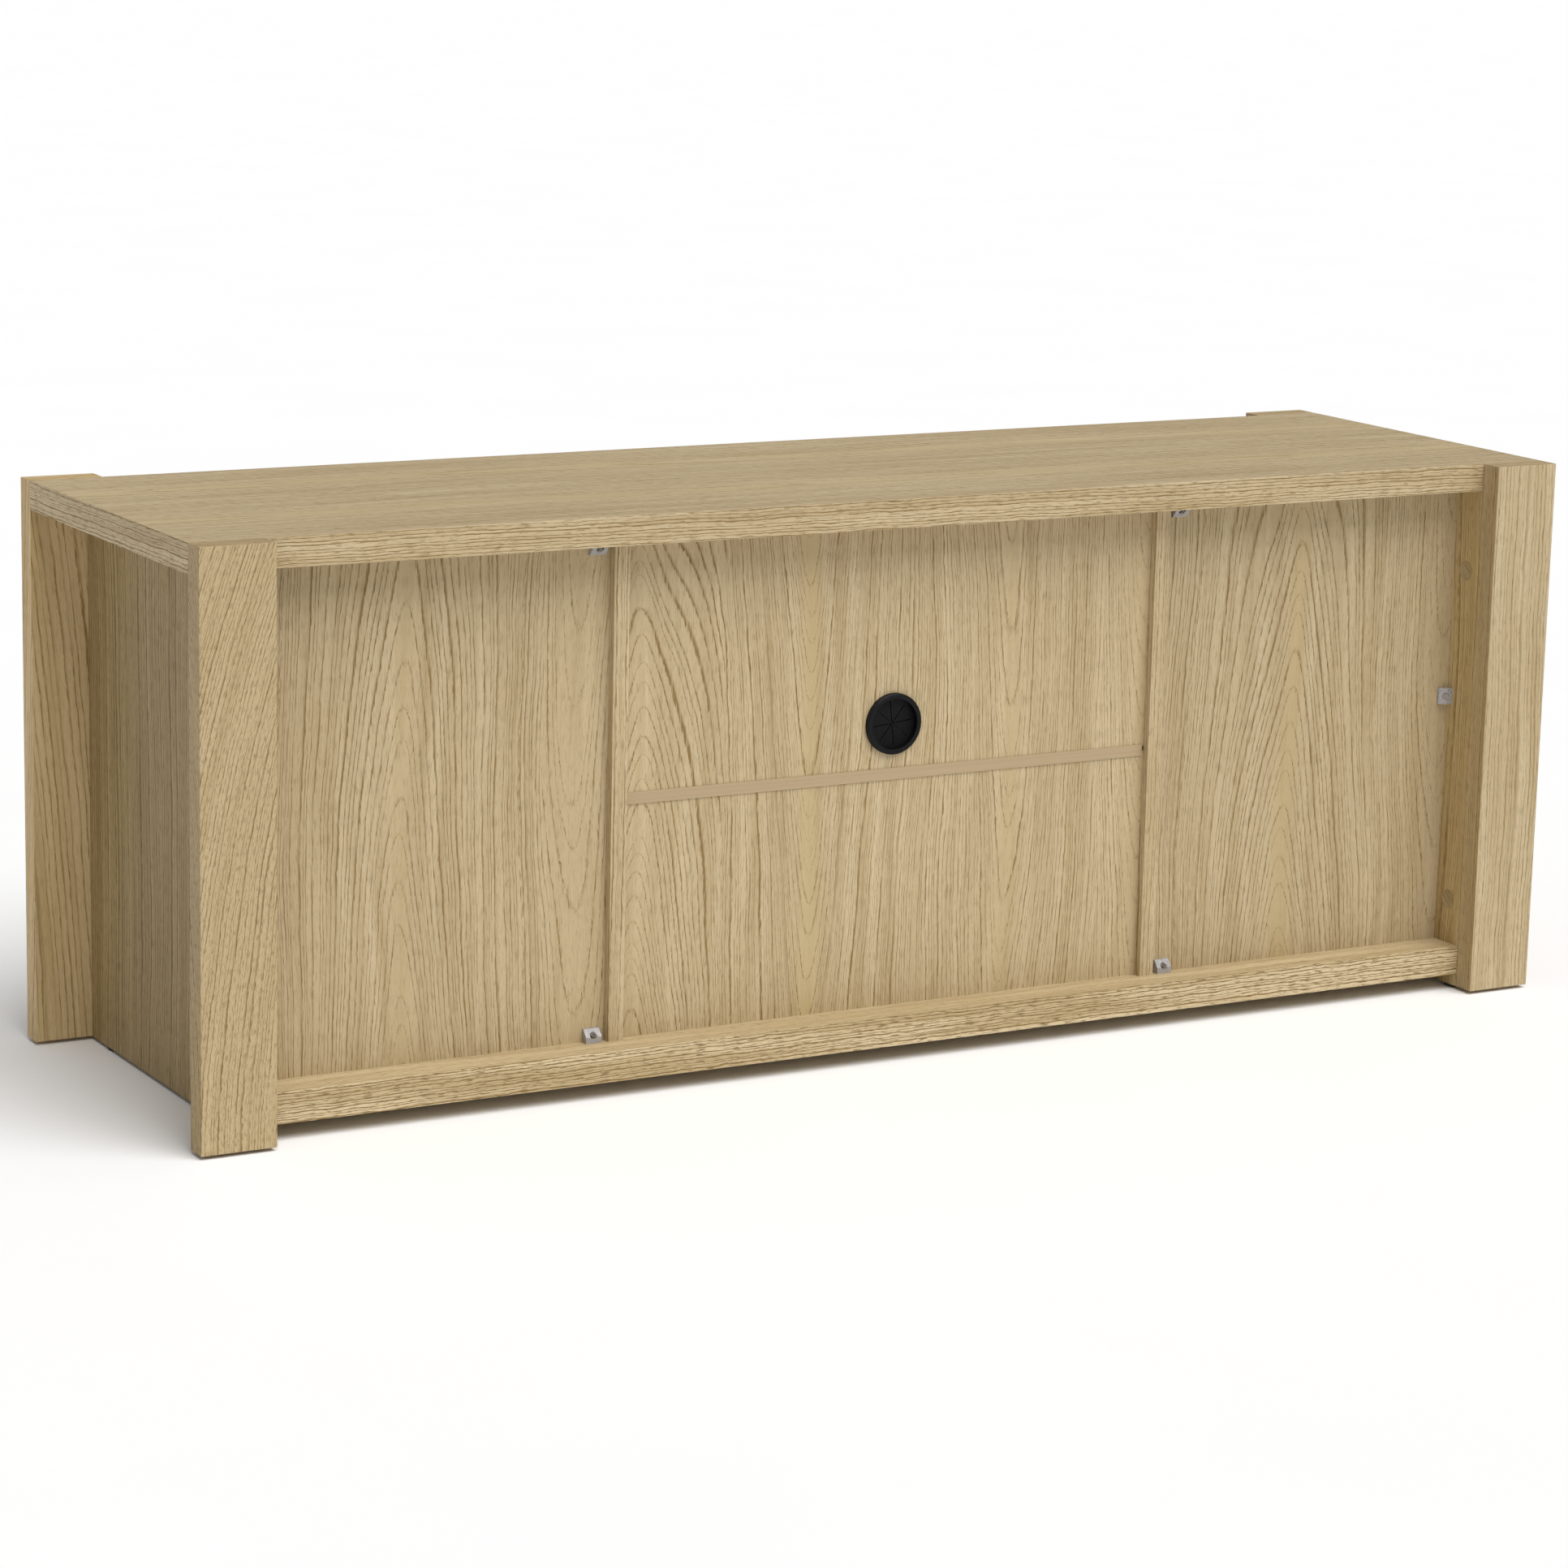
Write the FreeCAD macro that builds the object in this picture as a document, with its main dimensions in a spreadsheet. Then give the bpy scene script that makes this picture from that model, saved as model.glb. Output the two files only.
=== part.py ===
import FreeCAD, Part
import os
import re

import Sketcher
from FreeCAD import Placement, Rotation, Vector

# Media cabinet. +X is the cabinet's left-to-right as seen from the front, the doors
# face -Y, +Z is up, and the origin is on the floor under the middle of the cabinet.

SIZES = [
    ("width", 1480, "over the leg boards"),
    ("depth", 447, "over the leg boards"),
    ("leg_height", 548, "leg board, end to end"),
    ("leg_width", 73, "leg board, across its broad face"),
    ("leg_thick", 25, "leg board"),
    ("glide_height", 3.5, "floor to the leg boards' lower ends"),
    ("glide_dia", 16, "glide"),
    ("glide_front", 44, "front glide, in from the side panel's front edge"),
    ("glide_rear", 16, "rear glide, in from the side panel's rear edge"),
    ("top_thick", 28, "top panel"),
    ("bottom_thick", 30, "bottom panel"),
    ("bottom_lift", 13, "leg ends to the bottom panel's underside"),
    ("board", 16, "sides, partitions, shelves and doors"),
    ("edge_radius", 0.7, "eased edges of legs, top, doors and shelves"),
    ("partition_offset", 299.5, "partition's middle from the cabinet's middle"),
    ("partition_rear", 31, "partition, in from the top's rear edge"),
    ("door_gap", 2, "around each door"),
    ("door_back_gap", 1.5, "door to partition"),
    ("hinge_gap", 3, "door to side panel"),
    ("back_inset", 40, "back panels' rear face, in from the top's rear edge"),
    ("back_thick", 3, "back panel"),
    ("groove_depth", 5, "groove for the back panels"),
    ("groove_play", 0.1, "on each side of a back panel"),
    ("joiner_height", 11.5, "joiner strip"),
    ("joiner_flange", 1, "joiner strip"),
    ("joiner_web", 1.2, "joiner strip"),
    ("joiner_short", 2.2, "joiner strip's gap at its left end"),
    ("joiner_touch", 0.4, "joiner strip's gap at its right end"),
    ("joiner_air", 3.6, "joiner's web to the upper back panel"),
    ("grommet_height", 323.5, "grommet's middle above the leg ends"),
    ("grommet_hole", 55, "hole in the back panel"),
    ("grommet_flange", 60, "ring's flange"),
    ("grommet_bore", 50, "ring's opening"),
    ("grommet_proud", 5, "flange, from the back panel"),
    ("grommet_length", 14, "ring, front to back"),
    ("slit_width", 0.2, "diaphragm slit"),
    ("slit_reach", 21.5, "diaphragm slit, from its middle"),
    ("score_width", 0.9, "score along each slit, on the rear side"),
    ("score_depth", 1.3, "score along each slit"),
    ("slits", 8, "slits in the diaphragm"),
    ("cam_dia", 15, "cam lock bore"),
    ("cam_depth", 12.5, "cam lock bore"),
    ("cam_back", 20, "cam's middle, in from the panel's edge"),
    ("bolt_bore", 8, "bolt's bore in the panel's edge"),
    ("thread_bore", 5, "bolt's bore in the other panel"),
    ("thread_depth", 11.5, "bolt's bore in the other panel"),
    ("cam_low", 89, "lower leg cam above the leg ends"),
    ("cam_high", 435, "upper leg cam above the leg ends"),
    ("cover_dia", 20, "cam cover"),
    ("cover_thick", 0.4, "cam cover"),
    ("dowel_dia", 8, "dowel"),
    ("dowel_short", 11.5, "dowel's shorter end"),
    ("dowel_long", 16.5, "dowel's longer end"),
    ("dowel_play", 0.5, "past each dowel end"),
    ("clip_width", 13, "back clip, away from its board"),
    ("clip_height", 16.5, "back clip, along its board"),
    ("clip_thick", 8.5, "back clip"),
    ("clip_level", 302, "side clips' middle above the leg ends"),
    ("clip_beside", 14.5, "top and bottom clips' middle from the partition"),
    ("pin_dia", 5, "shelf pin"),
    ("pin_depth", 7.5, "shelf pin hole"),
    ("pin_step", 32, "spacing of shelf pin holes"),
    ("shelf_play", 1, "at each end of a shelf"),
    ("knob_dia", 22, "door knob"),
    ("knob_length", 20, "door knob"),
    ("knob_inset", 32, "knob's middle from the door's free edge"),
    ("hinge_height", 50, "butt hinge"),
    ("hinge_inset", 120, "hinge's middle from the door's end"),
    ("leaf_thick", 1, "hinge leaf"),
    ("barrel_dia", 6, "hinge barrel"),
    ("hinge_pin", 3, "hinge pin"),
]

doc = FreeCAD.newDocument("media_cabinet")
sheet = doc.addObject("Spreadsheet::Sheet", "Sizes")
for row, (alias, value, note) in enumerate(SIZES, start=1):
    sheet.set(f"A{row}", alias)
    sheet.set(f"B{row}", str(value))
    sheet.set(f"C{row}", note)
    sheet.setAlias(f"B{row}", alias)
doc.recompute()

ALIASES = {alias for alias, value, note in SIZES}


def linked(text):
    """The expression with each size's name made a reference to the sheet."""
    return re.sub(r"[a-z_]+", lambda m: f"Sizes.{m[0]}" if m[0] in ALIASES else m[0], text)


def num(text):
    """The expression's present value."""
    return float(sheet.evalExpression(linked(text)))


def point(x, y, z):
    return Vector(num(x), num(y), num(z))


# Shared levels and planes, as expressions.
MID_X = "width / 2"
FLOOR = "glide_height"
LEG_FACE = "(depth / 2 - leg_thick)"
SIDE_FACE = "(width / 2 - leg_width)"
UNDER_TOP = "(glide_height + leg_height - top_thick)"
UNDER_BOTTOM = "(glide_height + bottom_lift)"
ON_BOTTOM = "(glide_height + bottom_lift + bottom_thick)"
MIDDLE = "(glide_height + leg_height / 2)"
BACK_REAR = "(depth / 2 - leg_thick - back_inset)"
DOOR_BACK = "(board - (depth / 2 - leg_thick))"
PARTITION_FRONT = "(board + door_back_gap - (depth / 2 - leg_thick))"
PARTITION_REAR = "(depth / 2 - leg_thick - partition_rear)"
SIDES = {"left": -1, "right": 1}
ENDS = {"front": -1, "rear": 1}

STANDS = {
    "flat": Rotation(),
    "side": Rotation(0.5, 0.5, 0.5, 0.5),
    "upright": Rotation(Vector(1, 0, 0), 90),
}


def place(item, corner, rotation=Rotation()):
    """Turns an object and binds its position to the sheet."""
    item.Placement = Placement(Vector(), rotation)
    for axis, text in zip("xyz", corner):
        item.setExpression(f"Placement.Base.{axis}", linked(text))


def fix(sketch, kind, geometry, where, text):
    """Dimensions a sketch point from the origin, or puts it on the axis for 0."""
    if text == "0":
        axis = {"DistanceX": -2, "DistanceY": -1}[kind]
        sketch.addConstraint(Sketcher.Constraint("PointOnObject", geometry, where, axis))
        return
    made = sketch.addConstraint(Sketcher.Constraint(kind, -1, 1, geometry, where, num(text)))
    sketch.setExpression(f"Constraints[{made}]", linked(text))


def rectangle(sketch, low, high):
    first = sketch.GeometryCount
    x0, y0, x1, y1 = num(low[0]), num(low[1]), num(high[0]), num(high[1])
    corners = [Vector(x0, y0), Vector(x1, y0), Vector(x1, y1), Vector(x0, y1)]
    for i in range(4):
        sketch.addGeometry(Part.LineSegment(corners[i], corners[(i + 1) % 4]))
    for i in range(4):
        link = Sketcher.Constraint("Coincident", first + i, 2, first + (i + 1) % 4, 1)
        sketch.addConstraint(link)
        level = "Horizontal" if i % 2 == 0 else "Vertical"
        sketch.addConstraint(Sketcher.Constraint(level, first + i))
    fix(sketch, "DistanceX", first, 1, low[0])
    fix(sketch, "DistanceY", first, 1, low[1])
    fix(sketch, "DistanceX", first + 2, 1, high[0])
    fix(sketch, "DistanceY", first + 2, 1, high[1])


def circle(sketch, x, y, diameter):
    index = sketch.addGeometry(Part.Circle(Vector(num(x), num(y)), Vector(0, 0, 1), num(diameter) / 2))
    fix(sketch, "DistanceX", index, 3, x)
    fix(sketch, "DistanceY", index, 3, y)
    made = sketch.addConstraint(Sketcher.Constraint("Diameter", index, num(diameter)))
    sketch.setExpression(f"Constraints[{made}]", linked(diameter))


def polygon(sketch, points):
    """A closed outline of straight sides, each corner dimensioned from the origin."""
    first = sketch.GeometryCount
    spots = [Vector(num(x), num(y)) for x, y in points]
    count = len(spots)
    for i in range(count):
        sketch.addGeometry(Part.LineSegment(spots[i], spots[(i + 1) % count]))
    for i, (x, y) in enumerate(points):
        link = Sketcher.Constraint("Coincident", first + i, 2, first + (i + 1) % count, 1)
        sketch.addConstraint(link)
        fix(sketch, "DistanceX", first + i, 1, x)
        fix(sketch, "DistanceY", first + i, 1, y)


def new_body(label):
    body = doc.addObject("PartDesign::Body", label)
    body.Label = label
    return body


def new_sketch(body, role, offset="0"):
    plane = next(p for p in body.Origin.OriginFeatures if p.Role == role)
    sketch = body.newObject("Sketcher::SketchObject", body.Label + "_sketch")
    sketch.AttachmentSupport = [(plane, "")]
    sketch.MapMode = "FlatFace"
    if offset != "0":
        sketch.setExpression("AttachmentOffset.Base.z", linked(offset))
    return sketch


def pad(body, sketch, length):
    feature = body.newObject("PartDesign::Pad", body.Label + "_pad")
    feature.Profile = sketch
    feature.setExpression("Length", linked(length))
    body.Tip = feature
    return feature


class Board:
    """A rectangular panel: a sketch, a pad, and grooves and bores cut into it.

    Local X and Y lie in the broad face and Z goes through the thickness. Cuts are
    stated in the cabinet's frame and are moved to the board's own.
    """

    def __init__(self, label, stand, low, high, eased=False):
        self.stand = stand
        self.low = low
        self.high = high
        span = [f"({b}) - ({a})" for a, b in zip(low, high)]
        if stand == "flat":
            self.size, corner = span, low
        elif stand == "side":
            self.size, corner = [span[1], span[2], span[0]], low
        else:
            self.size, corner = [span[0], span[2], span[1]], (low[0], high[1], low[2])
        self.corner = corner
        self.body = new_body(label)
        sketch = new_sketch(self.body, "XY_Plane")
        rectangle(sketch, ("0", "0"), self.size[:2])
        base = pad(self.body, sketch, self.size[2])
        if eased:
            doc.recompute()
            fillet = self.body.newObject("PartDesign::Fillet", label + "_fillet")
            fillet.Base = (base, [f"Edge{n}" for n in range(1, 13)])
            fillet.setExpression("Radius", linked("edge_radius"))
            self.body.Tip = fillet
        place(self.body, corner, STANDS[stand])

    def local(self, spot):
        shift = [f"({a}) - ({b})" for a, b in zip(spot, self.corner)]
        if self.stand == "flat":
            return shift
        if self.stand == "side":
            return [shift[1], shift[2], shift[0]]
        return [shift[0], shift[2], f"({self.corner[1]}) - ({spot[1]})"]

    def face(self, name):
        """Sketch plane, its offset, whether the cut is reversed, and the two axes."""
        length, breadth, thick = self.size
        return {
            "near": ("XY_Plane", "0", True, (0, 1)),
            "far": ("XY_Plane", thick, False, (0, 1)),
            "start": ("YZ_Plane", "0", True, (1, 2)),
            "end": ("YZ_Plane", length, False, (1, 2)),
            "foot": ("XZ_Plane", "0", False, (0, 2)),
            "head": ("XZ_Plane", f"-({breadth})", True, (0, 2)),
        }[name]

    def cut(self, name, draw, depth):
        role, offset, backwards, axes = self.face(name)
        sketch = new_sketch(self.body, role, offset)
        draw(sketch, axes)
        pocket = self.body.newObject("PartDesign::Pocket", self.body.Label + "_pocket")
        pocket.Profile = sketch
        pocket.Reversed = backwards
        pocket.setExpression("Length", linked(depth))
        self.body.Tip = pocket

    def bore(self, name, spots, diameter, depth):
        """Round holes of one size, centred on the given spots."""
        def draw(sketch, axes):
            for spot in spots:
                spot = self.local(spot)
                circle(sketch, spot[axes[0]], spot[axes[1]], diameter)
        self.cut(name, draw, depth)

    def groove(self, name, low, high, depth):
        """A rectangular channel between two corners."""
        def draw(sketch, axes):
            a, b = self.local(low), self.local(high)
            rectangle(sketch, [a[i] for i in axes], [b[i] for i in axes])
        self.cut(name, draw, depth)


def group(label, shapes):
    """Separate solids that share one node."""
    item = doc.addObject("Part::Feature", label)
    item.Label = label
    item.Shape = Part.Compound(shapes)
    return item


def set_at(shape, spot, along, across):
    """A copy with its Z along one axis and its X along another."""
    turned = shape.copy()
    side = along.cross(across)
    turned.Placement = Placement(point(*spot), Rotation(across, side, along, "ZXY"))
    return turned


def rod(radius, start, end):
    """Cylinder about Z between two heights."""
    return Part.makeCylinder(radius, end - start, Vector(0, 0, start))


def times(sign, text):
    return f"{sign} * ({text})"


X, Y, Z = Vector(1, 0, 0), Vector(0, 1, 0), Vector(0, 0, 1)

# Fastener positions. Each cam: middle on the panel's face, way out of the face, way
# along its bolt.
LEG_LEVELS = [f"{FLOOR} + cam_low", f"{FLOOR} + cam_high"]
LEG_DOWEL_LEVELS = [f"{FLOOR} + cam_low + 32", f"{FLOOR} + cam_high + 32"]
SIDE_TOP_Y = ["-100", "100"]
SIDE_TOP_DOWEL_Y = ["-140", "140"]
SIDE_BOTTOM_Y = ["-100", "100"]
SIDE_BOTTOM_DOWEL_Y = ["-140", "140"]
PARTITION_TOP_Y = ["-90", "90"]
PARTITION_TOP_DOWEL_Y = ["-130", "130"]
PARTITION_SCREW_Y = ["-100", "100"]
SHELF_PIN_Y = ["-130", "110"]
CENTRE_PIN_Y = ["-150", "130"]
PIN_LEVELS = [f"{MIDDLE} - board / 2 - pin_dia / 2 + 0.05 + {n} * pin_step" for n in (-2, -1, 0, 1, 2)]

cams = []
dowels = []


def side_middle(sign):
    return times(sign, f"{SIDE_FACE} + board / 2")


def partition_middle(sign):
    return times(sign, "partition_offset")


def groove_band():
    return f"{BACK_REAR} - back_thick - groove_play", f"{BACK_REAR} + groove_play"


def make_side(name, sign):
    faces = [times(sign, SIDE_FACE), times(sign, f"{SIDE_FACE} + board")]
    if sign < 0:
        faces.reverse()
    inner = "near" if sign > 0 else "far"
    board = Board(f"side_panel_{name}", "side",
                  (faces[0], f"-{LEG_FACE}", FLOOR), (faces[1], LEG_FACE, UNDER_TOP))
    x = side_middle(sign)
    face_x = times(sign, SIDE_FACE)
    cam_z = f"{UNDER_TOP} - cam_back"
    cam_y = {-1: f"cam_back - {LEG_FACE}", 1: f"{LEG_FACE} - cam_back"}
    spots = [(x, cam_y[end], z) for end in (-1, 1) for z in LEG_LEVELS]
    spots += [(x, y, cam_z) for y in SIDE_TOP_Y]
    board.bore(inner, spots, "cam_dia", "cam_depth")
    for end, edge in ((-1, "start"), (1, "end")):
        board.bore(edge, [(x, "0", z) for z in LEG_LEVELS], "bolt_bore", "cam_back")
        board.bore(edge, [(x, "0", z) for z in LEG_DOWEL_LEVELS], "dowel_dia",
                   "dowel_long + dowel_play")
        for z in LEG_LEVELS:
            cams.append(((face_x, cam_y[end], z), X * -sign, Y * end))
        for z in LEG_DOWEL_LEVELS:
            dowels.append(((x, times(end, LEG_FACE), z), Y * end))
    board.bore("head", [(x, y, "0") for y in SIDE_TOP_Y], "bolt_bore", "cam_back")
    board.bore("head", [(x, y, "0") for y in SIDE_TOP_DOWEL_Y], "dowel_dia",
               "dowel_long + dowel_play")
    for y in SIDE_TOP_Y:
        cams.append(((face_x, y, cam_z), X * -sign, Z))
    for y in SIDE_TOP_DOWEL_Y:
        dowels.append(((x, y, UNDER_TOP), Z))
    bolt_z = f"{UNDER_BOTTOM} + board / 2"
    dowel_z = f"{UNDER_BOTTOM} + bottom_thick / 2"
    board.bore(inner, [(x, y, bolt_z) for y in SIDE_BOTTOM_Y], "thread_bore", "thread_depth")
    board.bore(inner, [(x, y, dowel_z) for y in SIDE_BOTTOM_DOWEL_Y], "dowel_dia",
               "dowel_short + dowel_play")
    board.bore(inner, [(x, y, z) for y in SHELF_PIN_Y for z in PIN_LEVELS], "pin_dia",
               "pin_depth")
    low, high = groove_band()
    board.groove(inner, (x, low, f"{ON_BOTTOM} - groove_depth"), (x, high, UNDER_TOP),
                 "groove_depth")
    for y in SIDE_BOTTOM_Y:
        spot = (times(sign, f"{SIDE_FACE} - cam_back"), y, UNDER_BOTTOM)
        cams.append((spot, Z * -1, X * sign))
    for y in SIDE_BOTTOM_DOWEL_Y:
        dowels.append(((face_x, y, dowel_z), X * sign))


def make_leg(name, sign, end_name, end):
    low_x, high_x = times(sign, SIDE_FACE), times(sign, "width / 2")
    if sign < 0:
        low_x, high_x = high_x, low_x
    low_y, high_y = times(end, LEG_FACE), times(end, "depth / 2")
    if end < 0:
        low_y, high_y = high_y, low_y
    board = Board(f"leg_{end_name}_{name}", "upright", (low_x, low_y, FLOOR),
                  (high_x, high_y, f"{FLOOR} + leg_height"), eased=True)
    inner = "far" if end > 0 else "near"
    x = side_middle(sign)
    top_spot = (times(sign, "width / 2 - 30"), times(end, LEG_FACE), f"{UNDER_TOP} + top_thick / 2")
    board.bore(inner, [(x, "0", z) for z in LEG_LEVELS], "thread_bore", "thread_depth")
    board.bore(inner, [(x, "0", z) for z in LEG_DOWEL_LEVELS] + [top_spot], "dowel_dia",
               "dowel_short + dowel_play")
    dowels.append((top_spot, Y * end))


def make_partition(name, sign):
    centre = partition_middle(sign)
    board = Board(f"partition_{name}", "side",
                  (f"{centre} - board / 2", PARTITION_FRONT, ON_BOTTOM),
                  (f"{centre} + board / 2", PARTITION_REAR, UNDER_TOP))
    outer, inner = ("far", "near") if sign > 0 else ("near", "far")
    cam_z = f"{UNDER_TOP} - cam_back"
    board.bore(outer, [(centre, y, cam_z) for y in PARTITION_TOP_Y], "cam_dia", "cam_depth")
    board.bore("head", [(centre, y, "0") for y in PARTITION_TOP_Y], "bolt_bore", "cam_back")
    board.bore("head", [(centre, y, "0") for y in PARTITION_TOP_DOWEL_Y], "dowel_dia",
               "dowel_long + dowel_play")
    board.bore("foot", [(centre, y, "0") for y in PARTITION_SCREW_Y], "thread_bore", "20.5")
    board.bore(outer, [(centre, y, z) for y in SHELF_PIN_Y for z in PIN_LEVELS], "pin_dia",
               "pin_depth")
    board.bore(inner, [(centre, y, z) for y in CENTRE_PIN_Y for z in PIN_LEVELS], "pin_dia",
               "pin_depth")
    board.bore("start", [(centre, "0", MAGNET_Z)], "10.2", "12.2")
    low, high = groove_band()
    for side in (outer, inner):
        board.groove(side, (centre, low, ON_BOTTOM), (centre, high, UNDER_TOP), "groove_depth")
    for y in PARTITION_TOP_Y:
        spot = (times(sign, "partition_offset + board / 2"), y, cam_z)
        cams.append((spot, X * sign, Z))
    for y in PARTITION_TOP_DOWEL_Y:
        dowels.append(((centre, y, UNDER_TOP), Z))


MAGNET_Z = f"{UNDER_TOP} - 30"

for name, sign in SIDES.items():
    make_side(name, sign)
    make_partition(name, sign)
    for end_name, end in ENDS.items():
        make_leg(name, sign, end_name, end)

# Top panel: bored from below for the sides' and partitions' bolts and dowels, and in its
# long edges for the legs' dowels.
top = Board("top_panel", "flat", ("-width / 2", f"-{LEG_FACE}", UNDER_TOP),
            ("width / 2", LEG_FACE, f"{UNDER_TOP} + top_thick"), eased=True)
bolt_spots = [(side_middle(s), y, "0") for s in (-1, 1) for y in SIDE_TOP_Y]
bolt_spots += [(partition_middle(s), y, "0") for s in (-1, 1) for y in PARTITION_TOP_Y]
dowel_spots = [(side_middle(s), y, "0") for s in (-1, 1) for y in SIDE_TOP_DOWEL_Y]
dowel_spots += [(partition_middle(s), y, "0") for s in (-1, 1) for y in PARTITION_TOP_DOWEL_Y]
top.bore("near", bolt_spots, "thread_bore", "thread_depth")
top.bore("near", dowel_spots, "dowel_dia", "dowel_short + dowel_play")
edge_spots = [(times(s, "width / 2 - 30"), "0", f"{UNDER_TOP} + top_thick / 2") for s in (-1, 1)]
top.bore("foot", edge_spots, "dowel_dia", "dowel_long + dowel_play")
top.bore("head", edge_spots, "dowel_dia", "dowel_long + dowel_play")
low, high = groove_band()
reach_x = f"({SIDE_FACE} + groove_depth)"
top.groove("near", (f"-{reach_x}", low, UNDER_TOP), (reach_x, high, UNDER_TOP), "groove_depth")

# Bottom panel: cams in its underside, bolts and dowels in its ends, and through bores for
# the partitions' screws.
bottom = Board("bottom_panel", "flat", (f"-{SIDE_FACE}", f"-{LEG_FACE}", UNDER_BOTTOM),
               (SIDE_FACE, LEG_FACE, ON_BOTTOM))
cam_spots = [(times(s, f"{SIDE_FACE} - cam_back"), y, "0") for s in (-1, 1) for y in SIDE_BOTTOM_Y]
screw_spots = [(partition_middle(s), y, "0") for s in (-1, 1) for y in PARTITION_SCREW_Y]
bottom.bore("near", cam_spots, "cam_dia", "cam_depth")
bottom.bore("near", screw_spots, "7", "bottom_thick")
bottom.bore("near", screw_spots, "10.2", "3.6")
for edge in ("start", "end"):
    bottom.bore(edge, [("0", y, f"{UNDER_BOTTOM} + board / 2") for y in SIDE_BOTTOM_Y],
                "bolt_bore", "cam_back")
    bottom.bore(edge, [("0", y, f"{UNDER_BOTTOM} + bottom_thick / 2") for y in SIDE_BOTTOM_DOWEL_Y],
                "dowel_dia", "dowel_long + dowel_play")
bottom.groove("far", (f"-{SIDE_FACE}", low, ON_BOTTOM), (SIDE_FACE, high, ON_BOTTOM),
              "groove_depth")

# Back panels, seated in the grooves with 0.5 mm to spare at each edge.
BITE = "(groove_depth - 0.5)"
INNER_X = "(partition_offset - board / 2)"
OUTER_X = "(partition_offset + board / 2)"
BACK_FRONT = f"({BACK_REAR} - back_thick)"
BACK_LOW = f"({ON_BOTTOM} - {BITE})"
BACK_HIGH = f"({UNDER_TOP} + {BITE})"
WEB = "(joiner_web / 2 + 0.3)"


def make_back(label, x_low, x_high, z_low, z_high):
    return Board(label, "upright", (x_low, BACK_FRONT, z_low), (x_high, BACK_REAR, z_high))


make_back("back_panel_left", f"-({SIDE_FACE} + {BITE})", f"-({OUTER_X} - {BITE})", BACK_LOW,
          BACK_HIGH)
make_back("back_panel_right", f"{OUTER_X} - {BITE}", f"{SIDE_FACE} + {BITE}", BACK_LOW, BACK_HIGH)
upper = make_back("back_panel_upper", f"-({INNER_X} + {BITE})", f"{INNER_X} + {BITE}",
                  f"{MIDDLE} + joiner_web / 2 + joiner_air", BACK_HIGH)
make_back("back_panel_lower", f"-({INNER_X} + {BITE})", f"{INNER_X} + {BITE}", BACK_LOW,
          f"{MIDDLE} - {WEB}")
GROMMET_Z = f"{FLOOR} + grommet_height"
upper.bore("near", [("0", BACK_REAR, GROMMET_Z)], "grommet_hole", "back_thick")

# Joiner strip, an H in section, that holds the two centre back panels edge to edge.
joiner = new_body("back_joiner")
section = new_sketch(joiner, "YZ_Plane")
HALF = "joiner_height / 2"
SLOT = "(back_thick + 0.2)"
THICK = f"({SLOT} + 2 * joiner_flange)"
polygon(section, [
    ("0", "0"),
    ("joiner_flange", "0"),
    ("joiner_flange", "(joiner_height - joiner_web) / 2"),
    (f"joiner_flange + {SLOT}", "(joiner_height - joiner_web) / 2"),
    (f"joiner_flange + {SLOT}", "0"),
    (THICK, "0"),
    (THICK, "joiner_height"),
    (f"joiner_flange + {SLOT}", "joiner_height"),
    (f"joiner_flange + {SLOT}", "(joiner_height + joiner_web) / 2"),
    ("joiner_flange", "(joiner_height + joiner_web) / 2"),
    ("joiner_flange", "joiner_height"),
    ("0", "joiner_height"),
])
pad(joiner, section, f"2 * {INNER_X} - joiner_short - joiner_touch")
place(joiner, (f"joiner_short - {INNER_X}", f"{BACK_FRONT} - joiner_flange - 0.1",
               f"{MIDDLE} - {HALF}"))

# Cable grommet: a ring with a flange behind the back panel, and a scored and slit diaphragm in it.
ring = new_body("grommet_ring")
profile = new_sketch(ring, "XY_Plane")
polygon(profile, [
    ("grommet_bore / 2", "0"),
    ("grommet_hole / 2 - 0.3", "0"),
    ("grommet_hole / 2 - 0.3", "grommet_length - grommet_proud"),
    ("grommet_flange / 2", "grommet_length - grommet_proud"),
    ("grommet_flange / 2", "grommet_length - 1"),
    ("grommet_flange / 2 - 1.6", "grommet_length"),
    ("grommet_bore / 2", "grommet_length"),
    ("grommet_bore / 2", "grommet_length - 5.5"),
    ("grommet_bore / 2 + 1", "grommet_length - 5.5"),
    ("grommet_bore / 2 + 1", "grommet_length - 8.5"),
    ("grommet_bore / 2", "grommet_length - 8.5"),
])
turned = ring.newObject("PartDesign::Revolution", "grommet_turn")
turned.Profile = profile
turned.ReferenceAxis = (profile, ["V_Axis"])
turned.Angle = 360
ring.Tip = turned
place(ring, ("0", f"{BACK_REAR} + grommet_proud - grommet_length", GROMMET_Z))

flap = new_body("grommet_diaphragm")
disc = new_sketch(flap, "XZ_Plane")
flap_round = disc.addGeometry(Part.Circle(Vector(), Z, num("grommet_bore / 2 + 0.7")))
disc.addConstraint(Sketcher.Constraint("Coincident", flap_round, 3, -1, 1))
disc_size = disc.addConstraint(Sketcher.Constraint("Radius", flap_round, num("grommet_bore / 2 + 0.7")))
disc.setExpression(f"Constraints[{disc_size}]", linked("grommet_bore / 2 + 0.7"))
pad(flap, disc, "2")
slit = new_sketch(flap, "XZ_Plane")
rectangle(slit, ("-slit_width / 2", "0.8"), ("slit_width / 2", "slit_reach"))
slit_cut = flap.newObject("PartDesign::Pocket", "slit_cut")
slit_cut.Profile = slit
slit_cut.Reversed = True
slit_cut.Length = 2
score = new_sketch(flap, "XZ_Plane")
rectangle(score, ("-score_width / 2", "0.8"), ("score_width / 2", "slit_reach"))
score_cut = flap.newObject("PartDesign::Pocket", "score_cut")
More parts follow.
